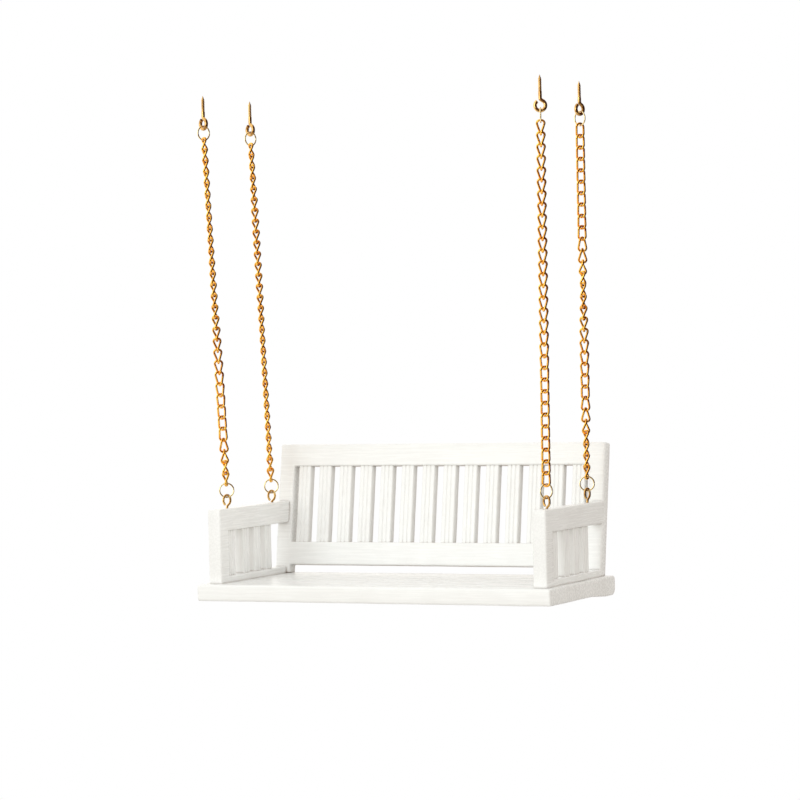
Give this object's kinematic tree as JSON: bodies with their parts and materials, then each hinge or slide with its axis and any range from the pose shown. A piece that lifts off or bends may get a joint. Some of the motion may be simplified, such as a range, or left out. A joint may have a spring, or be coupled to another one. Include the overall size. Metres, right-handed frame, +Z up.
{
  "type": "porch swing",
  "caption": "Miniature slatted bench swing with arms and a reclined back, hung from ceiling screw eyes on twisted curb chains.",
  "frame": {"origin": "centre of the four ceiling screw eyes, in the plane of the ceiling", "axes": "+Z up into the ceiling; +Y towards the bench's back; +X to the right of someone facing the bench"},
  "size_m": [0.1319, 0.0633, 0.1734],
  "materials": {
    "painted_wood": "thick satin white paint over softwood",
    "chain_gilt": "bright gilt, polished",
    "ring_gilt": "pale gilt, polished",
    "eye_brass": "darkened brass"
  },
  "bodies": {
    "ceiling": {"ceiling_eye_left_front": "eye_brass", "ceiling_eye_left_rear": "eye_brass", "ceiling_eye_right_front": "eye_brass", "ceiling_eye_right_rear": "eye_brass"},
    "hanger_left_front": {"upper_ring_left_front": "ring_gilt", "chain_left_front": "chain_gilt", "lower_ring_left_front": "ring_gilt"},
    "hanger_left_rear": {"upper_ring_left_rear": "ring_gilt", "chain_left_rear": "chain_gilt", "lower_ring_left_rear": "ring_gilt"},
    "hanger_right_front": {"upper_ring_right_front": "ring_gilt", "chain_right_front": "chain_gilt", "lower_ring_right_front": "ring_gilt"},
    "hanger_right_rear": {"upper_ring_right_rear": "ring_gilt", "chain_right_rear": "chain_gilt", "lower_ring_right_rear": "ring_gilt"},
    "bench": {"arm_left_bottom_rail": "painted_wood", "arm_left_post": "painted_wood", "arm_left_slat_1": "painted_wood", "arm_left_slat_2": "painted_wood", "arm_left_slat_3": "painted_wood", "arm_left_slat_4": "painted_wood", "arm_left_top_rail": "painted_wood", "arm_right_bottom_rail": "painted_wood", "arm_right_post": "painted_wood", "arm_right_slat_1": "painted_wood", "arm_right_slat_2": "painted_wood", "arm_right_slat_3": "painted_wood", "arm_right_slat_4": "painted_wood", "arm_right_top_rail": "painted_wood", "back_bottom_rail": "painted_wood", "back_left_stile": "painted_wood", "back_right_stile": "painted_wood", "back_slat_01": "painted_wood", "back_slat_02": "painted_wood", "back_slat_03": "painted_wood", "back_slat_04": "painted_wood", "back_slat_05": "painted_wood", "back_slat_06": "painted_wood", "back_slat_07": "painted_wood", "back_slat_08": "painted_wood", "back_slat_09": "painted_wood", "back_slat_10": "painted_wood", "back_slat_11": "painted_wood", "back_slat_12": "painted_wood", "back_slat_13": "painted_wood", "back_slat_14": "painted_wood", "back_top_rail": "painted_wood", "bench_eye_left_front": "eye_brass", "bench_eye_left_rear": "eye_brass", "bench_eye_right_front": "eye_brass", "bench_eye_right_rear": "eye_brass", "seat_board": "painted_wood"}
  },
  "joints": [
    {"name": "swing", "type": "hinge", "parent": "ceiling", "child": "hanger_left_front", "pos_m": [-0.06263, -0.01695, -0.00441], "axis": [1, 0, 0], "range_deg": [-20, 20]},
    {"name": "bench_level", "type": "hinge", "parent": "hanger_left_front", "child": "bench", "pos_m": [-0.05727, -0.01695, -0.13183], "axis": [1, 0, 0], "range_deg": [-20, 20]},
    {"name": "swing_left_rear", "type": "hinge", "parent": "ceiling", "child": "hanger_left_rear", "pos_m": [-0.06263, 0.01695, -0.00481], "axis": [1, 0, 0], "range_deg": [-20, 20]},
    {"name": "swing_right_front", "type": "hinge", "parent": "ceiling", "child": "hanger_right_front", "pos_m": [0.06263, -0.01695, -0.00481], "axis": [1, 0, 0], "range_deg": [-20, 20]},
    {"name": "swing_right_rear", "type": "hinge", "parent": "ceiling", "child": "hanger_right_rear", "pos_m": [0.06263, 0.01695, -0.00416], "axis": [1, 0, 0], "range_deg": [-20, 20]}
  ],
  "couplings": [
    {"joint": "bench_level", "follows": "swing", "ratio": -1},
    {"joint": "swing_left_rear", "follows": "swing", "ratio": 1},
    {"joint": "swing_right_front", "follows": "swing", "ratio": 1},
    {"joint": "swing_right_rear", "follows": "swing", "ratio": 1}
  ]
}
